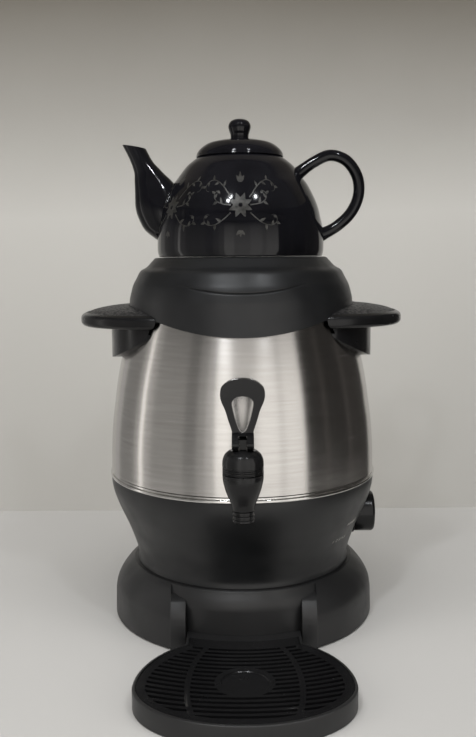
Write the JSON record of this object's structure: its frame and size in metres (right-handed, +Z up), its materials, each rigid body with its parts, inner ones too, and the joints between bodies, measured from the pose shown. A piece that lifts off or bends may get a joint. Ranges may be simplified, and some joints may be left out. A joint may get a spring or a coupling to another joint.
{
  "type": "electric samovar",
  "caption": "Electric samovar: steel tank on a black pedestal, lever tap over a slotted drip tray, side grips, and a black teapot standing on the lid.",
  "frame": {"origin": "centre of the bounding box's footprint, on the surface the feet stand on", "axes": "+Z up, +X to the side with the control knob, -Y to the front, where the tap and the tray are"},
  "size_m": [0.275, 0.3532, 0.4246],
  "materials": {
    "charcoal_plastic": "fine satin, charcoal",
    "satin_black_plastic": "satin black",
    "gloss_black_plastic": "polished black",
    "textured_black_plastic": "grained black",
    "black_rubber": "matte",
    "clear_silicone": "translucent silicone",
    "brushed_steel": "satin, brushed round the body",
    "polished_steel": "polished",
    "plated_steel": "zinc plated",
    "cast_aluminium": "as cast",
    "copper_tube": "drawn",
    "black_glaze": "high gloss black glaze",
    "amber_lens": "clear amber",
    "white_ceramic": "unglazed"
  },
  "bodies": {
    "samovar_body": {"pedestal_base": "charcoal_plastic", "base_plate": "charcoal_plastic", "lower_housing": "satin_black_plastic", "top_collar": "satin_black_plastic", "dial_ring": "satin_black_plastic", "left_handle": "gloss_black_plastic", "right_handle": "gloss_black_plastic", "power_inlet": "gloss_black_plastic", "tap_body": "gloss_black_plastic", "tap_bonnet": "gloss_black_plastic", "left_handle_inlay": "textured_black_plastic", "right_handle_inlay": "textured_black_plastic", "foot_back_left": "black_rubber", "foot_back_right": "black_rubber", "foot_front_left": "black_rubber", "foot_front_right": "black_rubber", "lid_gasket": "clear_silicone", "tap_outer_gasket": "clear_silicone", "tap_inner_gasket": "clear_silicone", "steel_tank": "brushed_steel", "trim_ring": "polished_steel", "pedestal_screw_1": "plated_steel", "pedestal_screw_2": "plated_steel", "pedestal_screw_3": "plated_steel", "clamp_plate": "plated_steel", "tie_rod": "plated_steel", "tie_nut": "plated_steel", "heating_element": "plated_steel", "left_handle_lower_screw": "plated_steel", "left_handle_upper_screw": "plated_steel", "right_handle_lower_screw": "plated_steel", "right_handle_upper_screw": "plated_steel", "tap_nut": "plated_steel", "tap_spring": "plated_steel", "heating_plate": "cast_aluminium", "thermostat_capillary": "copper_tube", "pilot_lamp": "amber_lens", "terminal_block": "white_ceramic", "thermal_cutout": "white_ceramic", "thermostat": "white_ceramic"},
    "drip_tray": {"drip_tray_pan": "charcoal_plastic"},
    "grille": {"drip_tray_grille": "gloss_black_plastic"},
    "knob": {"control_knob": "gloss_black_plastic", "thermostat_spindle": "plated_steel"},
    "tap_plunger": {"tap_stem": "gloss_black_plastic", "seat_cup": "clear_silicone", "lever_pin": "gloss_black_plastic"},
    "lever": {"tap_lever": "gloss_black_plastic"},
    "lid": {"tank_lid": "satin_black_plastic"},
    "teapot": {"teapot_body": "black_glaze"},
    "teapot_cover": {"teapot_lid": "black_glaze"}
  },
  "joints": [
    {"name": "tray_pull", "type": "slide", "parent": "samovar_body", "child": "drip_tray", "axis": [0, -1, 0], "range_m": [0, 0.1]},
    {"name": "grille_lift", "type": "slide", "parent": "drip_tray", "child": "grille", "axis": [0, 0, 1], "range_m": [0, 0.04]},
    {"name": "knob_turn", "type": "hinge", "parent": "samovar_body", "child": "knob", "pos_m": [0.0985, 0.0614, 0.0842], "axis": [1, 0, 0], "range_deg": [0, 270]},
    {"name": "plunger_lift", "type": "slide", "parent": "samovar_body", "child": "tap_plunger", "axis": [0, 0, 1], "range_m": [0, 0.004], "deforming": ["tap_spring"]},
    {"name": "lever_tip", "type": "hinge", "parent": "tap_plunger", "child": "lever", "pos_m": [0, -0.0886, 0.18035], "axis": [1, 0, 0], "range_deg": [0, 60]},
    {"name": "lid_lift", "type": "slide", "parent": "samovar_body", "child": "lid", "axis": [0, 0, 1], "range_m": [0, 0.08]},
    {"name": "teapot_lift", "type": "slide", "parent": "lid", "child": "teapot", "axis": [0, 0, 1], "range_m": [0, 0.12]},
    {"name": "teapot_cover_lift", "type": "slide", "parent": "teapot", "child": "teapot_cover", "axis": [0, 0, 1], "range_m": [0, 0.06]}
  ],
  "couplings": [
    {"joint": "lever_tip", "follows": "plunger_lift", "rad_per_m": 261.79}
  ]
}
